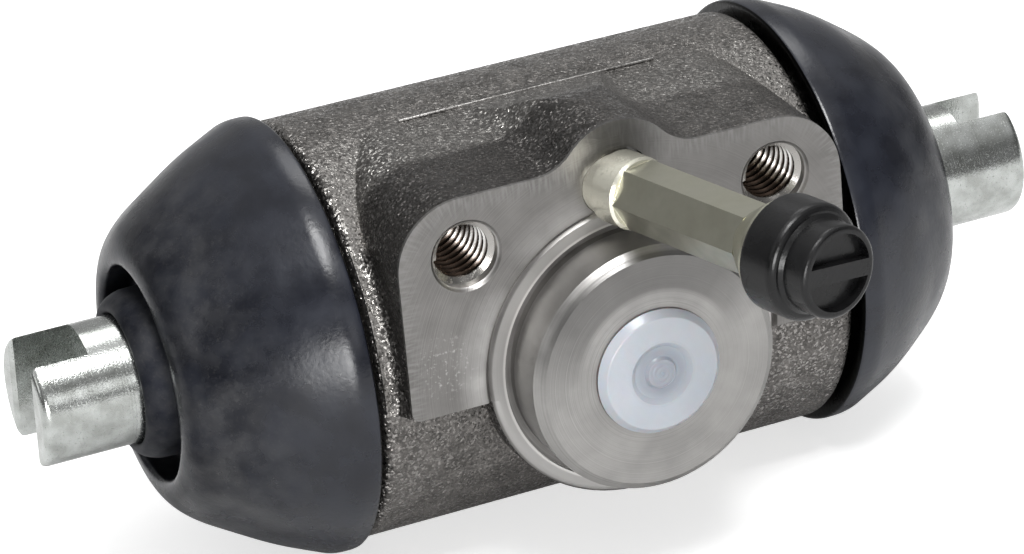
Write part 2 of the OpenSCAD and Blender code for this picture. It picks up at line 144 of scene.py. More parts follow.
def maths(tree, operation, *values):
    made = tree.nodes.new("ShaderNodeMath")
    made.operation = operation
    for socket, value in zip(made.inputs, values):
        plug_in(tree, socket, value)
    return made.outputs[0]


def vector(tree, operation, *values):
    made = tree.nodes.new("ShaderNodeVectorMath")
    made.operation = operation
    for socket, value in zip(made.inputs, values):
        plug_in(tree, socket, value)
    return made.outputs["Value" if operation in ("LENGTH", "DOT_PRODUCT") else "Vector"]


MIX_SOCKETS = {"FLOAT": (2, 3, 0), "VECTOR": (4, 5, 1), "RGBA": (6, 7, 2)}


def mix(tree, kind, mask, first, second):
    made = tree.nodes.new("ShaderNodeMix")
    made.data_type = kind
    low, high, out = MIX_SOCKETS[kind]
    plug_in(tree, made.inputs[0], mask)
    plug_in(tree, made.inputs[low], first)
    plug_in(tree, made.inputs[high], second)
    return made.outputs[out]


def ramp(tree, value, low, high, bottom=0.0, top=1.0):
    limits = {"From_Min": low, "From_Max": high, "To_Min": bottom, "To_Max": top}
    return node(tree, "MapRange", {"clamp": True}, Value=value, **limits).outputs[0]


def band(tree, value, start, full, last, end):
    return maths(tree, "MULTIPLY", ramp(tree, value, start, full), ramp(tree, value, end, last))


def combine(tree, operation, *masks):
    result = masks[0]
    for mask in masks[1:]:
        result = maths(tree, operation, result, mask)
    return result


def coordinates(tree, place):
    return node(tree, "SeparateXYZ", Vector=place).outputs


def bump(tree, into, height, strength, distance):
    made = node(tree, "Bump", Strength=strength, Distance=distance, Height=height)
    plug_in(tree, into["Normal"], made.outputs[0])


def new_material(name, **constants):
    material = bpy.data.materials.new(name)
    material.use_nodes = True
    tree = material.node_tree
    shader = tree.nodes["Principled BSDF"]
    for socket, value in constants.items():
        shader.inputs[socket.replace("_", " ")].default_value = value
    place = node(tree, "TexCoord").outputs["Object"]
    return material, tree, shader.inputs, place


# %% [markdown]
# Place decides many finishes. These helpers measure the distance from the bore's axis and from the axis of the nearer
# mounting hole.

# %% Distances from the axes
def bore_radius(tree, place):
    offset = vector(tree, "SUBTRACT", place, tuple(BORE_MIDDLE))
    return vector(tree, "LENGTH", vector(tree, "MULTIPLY", offset, (0, 1, 1)))


def bolt_radius(tree, place):
    split = coordinates(tree, place)
    folded = node(tree, "CombineXYZ", X=maths(tree, "ABSOLUTE", split["X"]), Z=split["Z"]).outputs[0]
    return vector(tree, "LENGTH", vector(tree, "SUBTRACT", folded, (BOLT_X, 0, BOLT_Z)))


# %% [markdown]
# Grain is used by most finishes: cast skin, plating and rubber all have small irregular spots. The group gives a
# coarse mask, a fine mask and a height for bumps, at a size set by the material.

# %% Group: grain
def new_group(name, inputs, outputs):
    group = bpy.data.node_groups.new(name, "ShaderNodeTree")
    for direction, sockets in (("INPUT", inputs), ("OUTPUT", outputs)):
        for label, kind in sockets.items():
            group.interface.new_socket(label, in_out=direction, socket_type="NodeSocket" + kind)
    return group, group.nodes.new("NodeGroupInput").outputs, group.nodes.new("NodeGroupOutput").inputs


def use(tree, group, **sockets):
    made = tree.nodes.new("ShaderNodeGroup")
    made.node_tree = group
    for name, value in sockets.items():
        plug_in(tree, made.inputs[name.replace("_", " ")], value)
    return made.outputs


grain, given, gives = new_group(
    "grain", {"Place": "Vector", "Size": "Float"}, {"Patches": "Float", "Specks": "Float", "Height": "Float"})
scale = maths(grain, "DIVIDE", 1.0, given["Size"])
coarse = node(grain, "TexNoise", Vector=given["Place"], Scale=maths(grain, "MULTIPLY", scale, 0.12), Detail=4.0)
fine = node(grain, "TexNoise", Vector=given["Place"], Scale=scale, Detail=3.0, Roughness=0.6)
cells = node(grain, "TexVoronoi", Vector=given["Place"], Scale=scale)
plug_in(grain, gives["Patches"], ramp(grain, coarse.outputs[0], 0.35, 0.65))
plug_in(grain, gives["Specks"], ramp(grain, fine.outputs[0], 0.56, 0.70))
pits = maths(grain, "MULTIPLY", cells.outputs[0], 0.35)
plug_in(grain, gives["Height"], maths(grain, "SUBTRACT", fine.outputs[0], pits))
print("group grain:", len(grain.nodes), "nodes")

# %% [markdown]
# Turned surfaces carry fine rings left by the tool. Each ring tips the surface a little towards or away from the
# axis, and together they draw the bright radial streaks seen on the pad. The group tips the normal along the
# radius by a noise that depends only on the distance from the axis, which here is the pilot's, along Y.

# %% Group: turning marks
turning, given, gives = new_group(
    "turning marks", {"Place": "Vector", "Pitch": "Float", "Tip": "Float"}, {"Normal": "Vector", "Rings": "Float"})
flat = vector(turning, "MULTIPLY", given["Place"], (1, 0, 1))
radius = vector(turning, "LENGTH", flat)
outward = vector(turning, "NORMALIZE", flat)
turns = maths(turning, "DIVIDE", radius, given["Pitch"])
rings = node(turning, "TexNoise", {"noise_dimensions": "1D"}, W=turns, Scale=1.0, Detail=2.0)
lean = maths(turning, "MULTIPLY", maths(turning, "SUBTRACT", rings.outputs[0], 0.5), given["Tip"])
tipped = vector(turning, "SCALE", outward)
plug_in(turning, tipped.node.inputs["Scale"], lean)
surface = node(turning, "NewGeometry").outputs["Normal"]
plug_in(turning, gives["Normal"], vector(turning, "NORMALIZE", vector(turning, "ADD", surface, tipped)))
plug_in(turning, gives["Rings"], rings.outputs[0])
print("group turning marks:", len(turning.nodes), "nodes")

# %% [markdown]
# Cast skin glitters: here and there a grain stands at its own angle and catches a lamp. The group gives every cell
# of a Voronoi pattern its own tilt, and picks out the few bright ones.

# %% Group: glitter
glitter, given, gives = new_group(
    "glitter", {"Place": "Vector", "Size": "Float", "Tilt": "Float"}, {"Normal": "Vector", "Bright": "Float"})
scale = maths(glitter, "DIVIDE", 1.0, given["Size"])
cells = node(glitter, "TexVoronoi", Vector=given["Place"], Scale=scale, Randomness=1.0)
turned_by = vector(glitter, "SUBTRACT", cells.outputs["Color"], (0.5, 0.5, 0.5))
tipped = vector(glitter, "SCALE", turned_by)
plug_in(glitter, tipped.node.inputs["Scale"], given["Tilt"])
surface = node(glitter, "NewGeometry").outputs["Normal"]
plug_in(glitter, gives["Normal"], vector(glitter, "NORMALIZE", vector(glitter, "ADD", surface, tipped)))
lot = coordinates(glitter, cells.outputs["Color"])["X"]
plug_in(glitter, gives["Bright"], ramp(glitter, lot, 0.62, 0.88))
print("group glitter:", len(glitter.nodes), "nodes")

# %% [markdown]
# The mill that faced the pad left short burrs across its outline. The group follows the outline of the ears, which
# are two rectangles with rounded corners, and draws a fine hatch in a narrow band along it.

# %% Group: edge hatch
CORNER_X = 19.9 * MM
CORNER_Z = 16.1 * MM
CORNER_R = 8 * MM
hatch, given, gives = new_group("edge hatch", {"Place": "Vector"}, {"Hatch": "Float"})
part = coordinates(hatch, given["Place"])
along_x = maths(hatch, "SUBTRACT", maths(hatch, "ABSOLUTE", part["X"]), CORNER_X)
along_z = maths(hatch, "SUBTRACT", part["Z"], CORNER_Z)
out_x, out_z = maths(hatch, "MAXIMUM", along_x, 0.0), maths(hatch, "MAXIMUM", along_z, 0.0)
in_x, in_z = maths(hatch, "MINIMUM", along_x, 0.0), maths(hatch, "MINIMUM", along_z, 0.0)
squares = maths(hatch, "ADD", maths(hatch, "MULTIPLY", out_x, out_x), maths(hatch, "MULTIPLY", out_z, out_z))
reach = maths(hatch, "SQRT", squares)
round_it = maths(hatch, "MULTIPLY", maths(hatch, "ARCTAN2", out_z, out_x), CORNER_R)
run = maths(hatch, "ADD", round_it, maths(hatch, "SUBTRACT", in_z, in_x))
burr_wide, burr_long = maths(hatch, "DIVIDE", run, 0.38 * MM), maths(hatch, "DIVIDE", reach, 2.4 * MM)
spread = node(hatch, "CombineXYZ", X=burr_wide, Y=burr_long).outputs[0]
lines = node(hatch, "TexNoise", {"noise_dimensions": "2D"}, Scale=1.0, Detail=1.0, Vector=spread)
near_edge = ramp(hatch, reach, CORNER_R - 2.6 * MM, CORNER_R - 0.6 * MM)
plug_in(hatch, gives["Hatch"], maths(hatch, "MULTIPLY", near_edge, ramp(hatch, lines.outputs[0], 0.42, 0.66)))
print("group edge hatch:", len(hatch.nodes), "nodes")

# %% [markdown]
# The body is one casting with three finishes: cast skin that glitters, metal that a tool has faced, and the brown
# oily walls of the drilled holes. The pad and all in front of it lies at y below zero, so place decides the finish.

# %% Finish of the body: where each kind of metal lies
PILOT_GROOVE_R = 16.3 * MM
BORE_WALL_R = 17.9 * MM
HOLE_MOUTH_Y = 2.4 * MM
HOLE_END_Y = 17 * MM
iron, tree, into, place = new_material("cast_iron", Metallic=1.0)
split = coordinates(tree, place)
sideways = maths(tree, "ABSOLUTE", split["X"])
flat = vector(tree, "MULTIPLY", place, (1, 0, 1))
outward = vector(tree, "NORMALIZE", flat)
from_pilot = vector(tree, "LENGTH", flat)
from_bore = bore_radius(tree, place)
from_hole = bolt_radius(tree, place)
in_front = maths(tree, "LESS_THAN", split["Y"], 0.45 * MM)
near_pilot = maths(tree, "LESS_THAN", from_pilot, PILOT_GROOVE_R)
in_groove = maths(tree, "MULTIPLY", near_pilot, maths(tree, "LESS_THAN", split["Y"], 2 * MM))
in_bore = maths(tree, "LESS_THAN", from_bore, BORE_WALL_R)
near_mouth = maths(tree, "LESS_THAN", split["Y"], HOLE_MOUTH_Y)
hole_rim = maths(tree, "MULTIPLY", maths(tree, "LESS_THAN", from_hole, 4.6 * MM), near_mouth)
machined = combine(tree, "MAXIMUM", in_front, in_groove, in_bore, hole_rim)
past_mouth = maths(tree, "GREATER_THAN", split["Y"], HOLE_MOUTH_Y)
before_end = maths(tree, "LESS_THAN", split["Y"], HOLE_END_Y)
in_hole = combine(tree, "MULTIPLY", maths(tree, "LESS_THAN", from_hole, 4.15 * MM), past_mouth, before_end)
print("masks of the body:", len(tree.nodes), "nodes")

# %% [markdown]
# The cast skin is dull grey with glittering grains. Painted shade darkens the front of the ears, more on the left,
# for the shade and dark reflection of the boots. A painted highlight brightens the crown and the shoulders of the
# barrel, fading towards the bottom. A black line of painted shadow lies in the gap along the boots.

# %% Finish of the body: cast skin
skin = use(tree, grain, Place=place, Size=0.42 * MM)
sparkle = use(tree, glitter, Place=place, Size=0.27 * MM, Tilt=0.75)
dull = mix(tree, "RGBA", skin["Patches"], (0.098, 0.093, 0.088, 1), (0.175, 0.166, 0.158, 1))
blasted = mix(tree, "RGBA", sparkle["Bright"], dull, (0.36, 0.345, 0.33, 1))
painted_highlight_skin = mix(tree, "RGBA", sparkle["Bright"], (0.135, 0.129, 0.123, 1), (0.47, 0.456, 0.434, 1))

# Painted shade: the front of the ears is darker, more on the left, for the shade of the boots.
off_barrel = ramp(tree, from_bore, 25.7 * MM, 26.2 * MM)
forward = ramp(tree, split["Y"], 13.5 * MM, 12 * MM)
more_left = ramp(tree, split["X"], 8 * MM, -8 * MM, 0.4, 0.75)
painted_ear_shade = combine(tree, "MULTIPLY", off_barrel, forward, more_left)
# Painted highlight: the crown and shoulders of the barrel are brighter, fading towards the bottom.
crown = band(tree, split["Y"], 12 * MM, 14 * MM, 21 * MM, 26 * MM)
shoulder = ramp(tree, sideways, 27.9 * MM, 28.3 * MM)
shoulder = maths(tree, "MULTIPLY", shoulder, ramp(tree, split["Y"], 26 * MM, 20 * MM))
high = maths(tree, "MULTIPLY", maths(tree, "MAXIMUM", crown, shoulder), ramp(tree, split["Z"], -6 * MM, 12 * MM))
# Painted shadow: a black line in the gap beside each boot.
painted_gap_shadow = ramp(tree, sideways, 30.3 * MM, 30.55 * MM)

cast_colour = mix(tree, "RGBA", high, blasted, painted_highlight_skin)
cast_colour = mix(tree, "RGBA", painted_ear_shade, cast_colour, (0.03, 0.028, 0.027, 1))
cast_colour = mix(tree, "RGBA", painted_gap_shadow, cast_colour, (0.004, 0.004, 0.004, 1))
cast_rough = mix(tree, "FLOAT", sparkle["Bright"], 0.48, 0.22)
cast_bump = node(tree, "Bump", Strength=0.8, Distance=0.2 * MM, Height=skin["Height"], Normal=sparkle["Normal"])
print("cast skin:", len(tree.nodes), "nodes")

# %% [markdown]
# The faced metal shows the rings of the tool. Bright radial streaks beside the pilot, towards the left and the upper
# left, are painted highlights for the shine of those rings, broken into patches. A painted highlight draws a bright
# line along the root of the pilot, and the mouths of the holes are bright. Painted shade darkens the top of the
# pilot's face, for the shadow and reflection of the bleed screw. The pad is darker around a spot just above the bleed
# screw.

# %% Finish of the body: faced metal
marks = use(tree, turning, Place=place, Pitch=0.16 * MM, Tip=0.26)
cloud = use(tree, grain, Place=place, Size=0.5 * MM)
on_pad = maths(tree, "GREATER_THAN", split["Y"], -0.3 * MM)
on_face = maths(tree, "SUBTRACT", 1.0, on_pad)

# Painted highlight: radial streaks beside the pilot.
beside = band(tree, from_pilot, 18.3 * MM, 19 * MM, 19.5 * MM, 22.5 * MM)
wide = ramp(tree, vector(tree, "DOT_PRODUCT", outward, (-0.974, 0, 0.225)), 0.90, 0.99)
narrow = ramp(tree, vector(tree, "DOT_PRODUCT", outward, (-0.454, 0, 0.891)), 0.95, 0.995, 0.0, 0.5)
streaks = maths(tree, "MULTIPLY", beside, maths(tree, "MAXIMUM", wide, narrow))
painted_streak_highlight = maths(tree, "MULTIPLY", streaks, ramp(tree, cloud["Patches"], 0, 1, 0.55, 0.95))
from_patch = vector(tree, "LENGTH", vector(tree, "SUBTRACT", flat, (-23 * MM, 0, 4 * MM)))
unfaced = maths(tree, "MULTIPLY", ramp(tree, from_patch, 5 * MM, 2 * MM), cloud["Specks"])
land = maths(tree, "MULTIPLY", on_pad, band(tree, from_pilot, 16.15 * MM, 16.3 * MM, 17.7 * MM, 17.9 * MM))
# Painted highlight along the inner edge of the land round the pilot.
painted_edge_highlight = maths(tree, "MULTIPLY", on_pad, band(tree, from_pilot, 16.1 * MM, 16.2 * MM, 16.4 * MM, 16.55 * MM))
edge = use(tree, hatch, Place=place)["Hatch"]
# Painted shade on the top of the pilot's face, for the shadow and reflection of the bleed screw.
upper = ramp(tree, vector(tree, "DOT_PRODUCT", outward, (-0.1, 0, 0.995)), 0.2, 0.7, 0.0, 0.6)
ring = band(tree, from_pilot, 9.5 * MM, 10.3 * MM, 14.4 * MM, 14.8 * MM)
painted_face_shade = combine(tree, "MULTIPLY", on_face, upper, ring)
# The pad is darker around a spot just above the bleed screw.
from_screw = vector(tree, "LENGTH", vector(tree, "SUBTRACT", flat, (0.2 * MM, 0, 25.8 * MM)))
dark_above_screw = maths(tree, "MULTIPLY", on_pad, ramp(tree, from_screw, 6.5 * MM, 2.5 * MM, 0.0, 0.75))
mouth = maths(tree, "MULTIPLY", hole_rim, ramp(tree, split["Y"], 0.2 * MM, 0.4 * MM))

dim = mix(tree, "RGBA", on_pad, (0.25, 0.245, 0.238, 1), (0.15, 0.145, 0.14, 1))
lit = mix(tree, "RGBA", on_pad, (0.42, 0.411, 0.398, 1), (0.265, 0.257, 0.248, 1))
ring_part, cloud_part = maths(tree, "MULTIPLY", marks["Rings"], 0.6), maths(tree, "MULTIPLY", cloud["Patches"], 0.4)
faced = mix(tree, "RGBA", maths(tree, "ADD", ring_part, cloud_part), dim, lit)
TONES = (
    (painted_streak_highlight, 0.50), (unfaced, 0.44), (land, 0.40), (edge, 0.25),
    (painted_edge_highlight, 0.62), (painted_face_shade, 0.09), (dark_above_screw, 0.06), (mouth, 0.52),
)
for mask, tone in TONES:
    faced = mix(tree, "RGBA", mask, faced, (tone, 0.98 * tone, 0.955 * tone, 1))
print("faced metal:", len(tree.nodes), "nodes")

# %% [markdown]
# The masks join the three finishes in the body's one shader.

# %% Finish of the body: joined
drilled = mix(tree, "RGBA", skin["Patches"], (0.10, 0.075, 0.055, 1), (0.20, 0.15, 0.115, 1))
finished = mix(tree, "RGBA", machined, cast_colour, faced)
faced_rough = ramp(tree, cloud["Patches"], 0, 1, 0.36, 0.46)
plug_in(tree, into["Base Color"], mix(tree, "RGBA", in_hole, finished, drilled))
plug_in(tree, into["Roughness"], mix(tree, "FLOAT", machined, cast_rough, faced_rough))
plug_in(tree, into["Normal"], mix(tree, "VECTOR", machined, cast_bump.outputs[0], marks["Normal"]))
print("finish cast_iron:", len(tree.nodes), "nodes")

# %% [markdown]
# Plated steel: the thrust pins have bright zinc with a fine speckle over the marks of the lathe, and the hidden
# steel pieces have plainer coats of their own.

# %% Finishes: plated steel
def plated(name, pale, deep, size, rough):
    material, tree, into, place = new_material(name, Metallic=1.0)
    spots = use(tree, grain, Place=place, Size=size)
    along = maths(tree, "DIVIDE", coordinates(tree, place)["X"], 0.22 * MM)
    lathe = node(tree, "TexNoise", {"noise_dimensions": "1D"}, W=along, Scale=1.0, Detail=2.0).outputs[0]
    colour = mix(tree, "RGBA", spots["Patches"], pale, deep)
    plug_in(tree, into["Base Color"], mix(tree, "RGBA", maths(tree, "MULTIPLY", spots["Specks"], 0.5), colour, deep))
    plug_in(tree, into["Roughness"], ramp(tree, spots["Specks"], 0, 1, rough, rough + 0.16))
    bump(tree, into, maths(tree, "ADD", spots["Height"], maths(tree, "MULTIPLY", lathe, 0.7)), 0.3, 0.05 * MM)
    print("finish", name)
    return material


zinc = plated("zinc_steel", (0.58, 0.60, 0.585, 1), (0.41, 0.425, 0.405, 1), 0.26 * MM, 0.2)
spring_wire = plated("spring_steel", (0.42, 0.42, 0.43, 1), (0.32, 0.32, 0.33, 1), 0.4 * MM, 0.32)
pressed = plated("pressed_steel", (0.62, 0.56, 0.36, 1), (0.52, 0.46, 0.29, 1), 0.4 * MM, 0.30)
piston_metal = plated("piston_alloy", (0.70, 0.70, 0.71, 1), (0.60, 0.60, 0.61, 1), 0.4 * MM, 0.30)

# %% [markdown]
# The bleed screw is passivated a pale olive. Its round collar was turned bright and shows fine scratches along the
# axis, the hexagon was drawn smooth and is duller. The distance along the screw's own axis tells them apart.

# %% Finish: passivated bleed screw
passivated, tree, into, place = new_material("passivated_steel", Metallic=1.0)
offset = vector(tree, "SUBTRACT", place, tuple(BLEED_FOOT))
travel = vector(tree, "DOT_PRODUCT", offset, tuple(BLEED_AXIS))
collar = maths(tree, "LESS_THAN", travel, 4.55 * MM)
spots = use(tree, grain, Place=place, Size=0.5 * MM)
olive = mix(tree, "RGBA", spots["Patches"], (0.44, 0.434, 0.36, 1), (0.35, 0.345, 0.28, 1))
straw = mix(tree, "RGBA", spots["Specks"], (0.94, 0.92, 0.79, 1), (0.78, 0.76, 0.63, 1))
plug_in(tree, into["Base Color"], mix(tree, "RGBA", collar, olive, straw))
plug_in(tree, into["Roughness"], mix(tree, "FLOAT", collar, ramp(tree, spots["Patches"], 0, 1, 0.30, 0.38), 0.26))
plug_in(tree, into["Metallic"], mix(tree, "FLOAT", collar, 0.94, 0.86))
long_place = vector(tree, "MULTIPLY", place, (1, 0.06, 1))
drawn = node(tree, "TexNoise", Vector=long_place, Scale=2600.0, Detail=2.0).outputs[0]
bump(tree, into, maths(tree, "MULTIPLY", drawn, ramp(tree, collar, 0, 1, 0.35, 1.0)), 0.3, 0.05 * MM)
print("finish passivated_steel")

# %% [markdown]
# Rubber: the boots are near black with a cold sheen and faint bloom, the cap is smoother and glossier. The nose of a
# boot is mottled by handling: powder lies in patches and the sheen is worn off between them. The neck that grips the
# pin is rough with dust. The narrow edge that faces the barrel is painted black and without sheen, as shadow in the
# gap.

# %% Finishes: rubbers
def rubber(name, dark, bloom, size, rough, ior=1.5, bumps=0.3, rim=0.0, dust=0.0, mottle=0.0):
    material, tree, into, place = new_material(name, IOR=ior)
    spots = use(tree, grain, Place=place, Size=size)
    cloud = use(tree, grain, Place=place, Size=0.4 * MM)
    from_axis = bore_radius(tree, place)
    # Painted shadow: the rim edge is black and without sheen, for the gap beside the barrel.
    rim_gap_shadow = maths(tree, "LESS_THAN", maths(tree, "ABSOLUTE", coordinates(tree, place)["X"]), rim)
    on_nose = ramp(tree, from_axis, 25 * MM, 20 * MM, 0.0, mottle)
    handled = maths(tree, "ADD", cloud["Patches"], ramp(tree, from_axis, 20 * MM, 15 * MM))
    powder = maths(tree, "ADD", cloud["Specks"], ramp(tree, cloud["Patches"], 1.0, 0.0))
    clean = mix(tree, "RGBA", spots["Patches"], dark, bloom)
    dusted = mix(tree, "RGBA", maths(tree, "MULTIPLY", powder, on_nose), clean, (0.038, 0.038, 0.039, 1))
    plug_in(tree, into["Base Color"], mix(tree, "RGBA", rim_gap_shadow, dusted, (0.004, 0.004, 0.004, 1)))
    plug_in(tree, into["Metallic"], maths(tree, "MAXIMUM", rim_gap_shadow, maths(tree, "MULTIPLY", handled, on_nose)))
    on_neck = ramp(tree, from_axis, 13.4 * MM, 11.5 * MM, 0.0, dust)
    patchy = ramp(tree, spots["Patches"], 0, 1, rough, rough + 0.12)
    plug_in(tree, into["Roughness"], maths(tree, "ADD", on_neck, patchy))
    bump(tree, into, spots["Height"], bumps, 0.06 * MM)
    print("finish", name)
    return material


boot_rubber = rubber("boot_rubber", (0.006, 0.007, 0.0115, 1), (0.013, 0.015, 0.0225, 1), 0.6 * MM, 0.22,
                     rim=31.25 * MM, dust=0.3, mottle=0.4)
cap_rubber = rubber("cap_rubber", (0.004, 0.004, 0.0042, 1), (0.008, 0.008, 0.0085, 1), 0.5 * MM, 0.22, ior=1.38)
seal_rubber = rubber("seal_rubber", (0.012, 0.012, 0.013, 1), (0.02, 0.02, 0.021, 1), 0.5 * MM, 0.4, bumps=0.2)

# %% [markdown]
# The plug is milky polyethylene: pale, slightly blue, and light goes a little way into it. A faint swirl marks its
# thin middle.

# %% Finish: plug plastic
plastic, tree, into, place = new_material(
    "plug_plastic", Roughness=0.3, Subsurface_Weight=0.35, Subsurface_Scale=1.5 * MM)
milk = use(tree, grain, Place=place, Size=1.2 * MM)
from_axis = vector(tree, "LENGTH", vector(tree, "MULTIPLY", place, (1, 0, 1)))
thin = ramp(tree, from_axis, 4.3 * MM, 2.6 * MM)
milky = mix(tree, "RGBA", milk["Patches"], (0.37, 0.395, 0.434, 1), (0.42, 0.445, 0.484, 1))
plug_in(tree, into["Base Color"], mix(tree, "RGBA", thin, milky, (0.28, 0.30, 0.342, 1)))
SWIRL_PITCH = 0.55 * MM
part = coordinates(tree, place)
about = maths(tree, "ARCTAN2", part["Z"], part["X"])
phase = maths(tree, "MULTIPLY", from_axis, 2 * math.pi / SWIRL_PITCH)
swirl = maths(tree, "SINE", maths(tree, "ADD", about, phase))
ripples = maths(tree, "MULTIPLY", swirl, ramp(tree, from_axis, 2.6 * MM, 1.2 * MM))
bump(tree, into, maths(tree, "ADD", ripples, milk["Height"]), 0.35, 0.08 * MM)
print("finish plug_plastic")

# %% [markdown]
# The cut threads are clean near the mouth of the hole, and their roots are painted dark as shade between the bright
# crests. Oil and painted shade turn them dark brown on the side that lies below and to the left, and further down the
# hole.

# %% Finish: cut thread
thread_metal, tree, into, place = new_material("thread_metal", Metallic=1.0)
split = coordinates(tree, place)
oil = use(tree, grain, Place=place, Size=0.4 * MM)
middle_x = maths(tree, "MULTIPLY", maths(tree, "SIGN", split["X"]), BOLT_X)
# Painted shade in an oily brown: deeper in the hole, below and to the left.
deep = ramp(tree, split["Y"], 6 * MM, 14 * MM)
below = ramp(tree, maths(tree, "SUBTRACT", split["Z"], BOLT_Z), -0.8 * MM, -2.9 * MM)
to_left = ramp(tree, maths(tree, "SUBTRACT", split["X"], middle_x), 0.8 * MM, -2.6 * MM)
oil_and_shade = combine(tree, "MAXIMUM", deep, below, to_left)
# Painted shade: the roots between the crests are dark.
crest = ramp(tree, bolt_radius(tree, place), 3.62 * MM, 3.46 * MM)
clean = mix(tree, "RGBA", oil["Patches"], (0.80, 0.79, 0.775, 1), (0.62, 0.60, 0.57, 1))
top = mix(tree, "RGBA", oil_and_shade, clean, (0.12, 0.085, 0.065, 1))
inside = mix(tree, "RGBA", crest, (0.05, 0.038, 0.03, 1), top)
at_mouth = ramp(tree, split["Y"], 2.9 * MM, 2.0 * MM)
plug_in(tree, into["Base Color"], mix(tree, "RGBA", at_mouth, inside, (0.42, 0.406, 0.385, 1)))
plug_in(tree, into["Roughness"], ramp(tree, oil["Specks"], 0, 1, 0.2, 0.34))
print("finish thread_metal")

# %% [markdown]
# The CAD nodes keep their meshes, so a finish is given by putting it in the node's material slot.

# %% Dress the CAD nodes
FINISH = {
    "cylinder_body": iron, "bleed_screw": passivated, "bleed_cap": cap_rubber, "inlet_plug": plastic,
    "return_spring": spring_wire,
}
for side in ("left", "right"):
    FINISH[side + "_boot"] = boot_rubber
    FINISH[side + "_thrust_pin"] = zinc
    FINISH[side + "_piston"] = piston_metal
    FINISH[side + "_cup_seal"] = seal_rubber
    FINISH[side + "_expander"] = pressed
for name, finish in FINISH.items():
    mesh = frame["nodes"][name].data
    mesh.materials.clear()
    mesh.materials.append(finish)
print("dressed", len(FINISH), "nodes")

# %% [markdown]
# The rubber boots bend, so each is modelled here and takes the place of its CAD solid. A circle at the rim is
# extruded ring by ring along the boot's profile: over the rim, down the band to a soft crease, along the cone, round
# the lip, into the fold, out along the neck that grips the pin, and back inside to the bead in the groove. The last
# ring is bridged to the first. The profile gives radius and distance from the middle in millimetres.

# %% Boots
def curve(p0, p1, p2, steps):
    points = []
    for i in range(1, steps + 1):
        t = i / steps
        points.append(tuple((1 - t) ** 2 * a + 2 * t * (1 - t) * b + t * t * c for a, b, c in zip(p0, p1, p2)))
    return points


CREASE_R = 23.78
CREASE_X = 39.6
NOSE_R = 16.93
FOLD_DEPTH = 4.8
NECK_OUT = 2.3


def boot_profile(push):
    lip = 51.0 - push
    slope = (CREASE_R - NOSE_R) / (lip - CREASE_X)
    floor = lip - FOLD_DEPTH
    neck = lip + NECK_OUT
    past_crease = (CREASE_R - 2.4 * slope, CREASE_X + 2.4)
    near_lip = (NOSE_R + 5 * slope, lip - 5)
    points = [(22.15, 31.0), (24.5, 31.0), (25.9, 31.0)]
    points += curve((25.9, 31.0), (26.5, 31.0), (26.5, 31.6), 4)
    points += [(26.5, 32.2)] + curve((26.5, 32.4), (26.5, 33.4), (26.16, 34.2), 5)
    points += [(25.4, 35.93), (24.86, 37.15)]
    points += curve((24.86, 37.15), (CREASE_R, CREASE_X), past_crease, 8)
    points += curve(past_crease, (CREASE_R - 3 * slope, CREASE_X + 3), near_lip, 5)
    points += curve(near_lip, (NOSE_R, lip), (13.9, lip), 12)
    points += curve((13.9, lip), (13.0, lip), (13.0, lip - 0.9), 5)
    points += curve((13.1, lip - 2.5), (13.2, floor), (11.9, floor), 6)
    points += curve((11.3, floor), (10.3, floor), (10.3, floor + 1.2), 5)
    points += curve((10.3, neck - 3.2), (10.0, neck - 0.6), (8.7, neck), 7)
    points += curve((8.5, neck), (7.9, neck), (7.9, neck - 0.6), 4)
    points += [(7.9, floor), (7.9, floor - 2.1), (15.0, floor - 2.1), (18.2, floor - 3.7)]
    points += [(22.11, 38.05), (22.11, 34.65), (20.71, 34.65), (20.71, 32.35), (22.11, 32.35)]
    return points


# Half a step of turn keeps the corners of the rings inside the CAD box
RING_POINTS = 128


def on_bore_axis(side, x):
    return (side * x * MM, BORE_Y, BORE_Z)


def sweep_rings(name, side, profile):
    bpy.ops.object.select_all(action="DESELECT")
    radius, x = profile[0]
    bpy.ops.mesh.primitive_circle_add(
        vertices=RING_POINTS, radius=radius * MM, location=on_bore_axis(side, x), rotation=(0, math.pi / 2, 0))
    made = bpy.context.object
    made.name = name
    bpy.ops.object.mode_set(mode="EDIT")
    bpy.ops.mesh.select_all(action="SELECT")
    bpy.ops.transform.rotate(
        value=math.pi / RING_POINTS, orient_axis="X", orient_type="GLOBAL", center_override=on_bore_axis(side, x))
    for next_radius, next_x in profile[1:]:
        step = (side * (next_x - x) * MM, 0, 0)
        grow = next_radius / radius
        bpy.ops.mesh.extrude_edges_move(TRANSFORM_OT_translate={"value": step, "orient_type": "GLOBAL"})
        bpy.ops.transform.resize(
            value=(1, grow, grow), orient_type="GLOBAL", center_override=on_bore_axis(side, next_x))
        radius, x = next_radius, next_x
    bpy.ops.mesh.select_non_manifold(extend=False)
    bpy.ops.mesh.bridge_edge_loops()
    bpy.ops.mesh.select_all(action="SELECT")
    bpy.ops.mesh.normals_make_consistent(inside=False)
    bpy.ops.object.mode_set(mode="OBJECT")
    bpy.ops.object.transform_apply(location=True, rotation=True, scale=True)
    bpy.ops.object.shade_smooth_by_angle(angle=math.radians(40))
    return made


for side, name, push in ((-1, "left", 0.0), (1, "right", 1.8)):
    boot = sweep_rings(name + "_rubber_boot", side, boot_profile(push))
    boot.data.materials.append(boot_rubber)
    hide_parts(name + "_boot")
    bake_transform(boot)
    print(boot.name, len(boot.data.polygons), "faces")

# %% [markdown]
# The mounting holes are threaded. The section of one turn, broad on the wall of the hole and narrow at its crest, is
# wound inwards by the Screw modifier with the pitch of an M8 thread, and the two ends of the winding are closed.

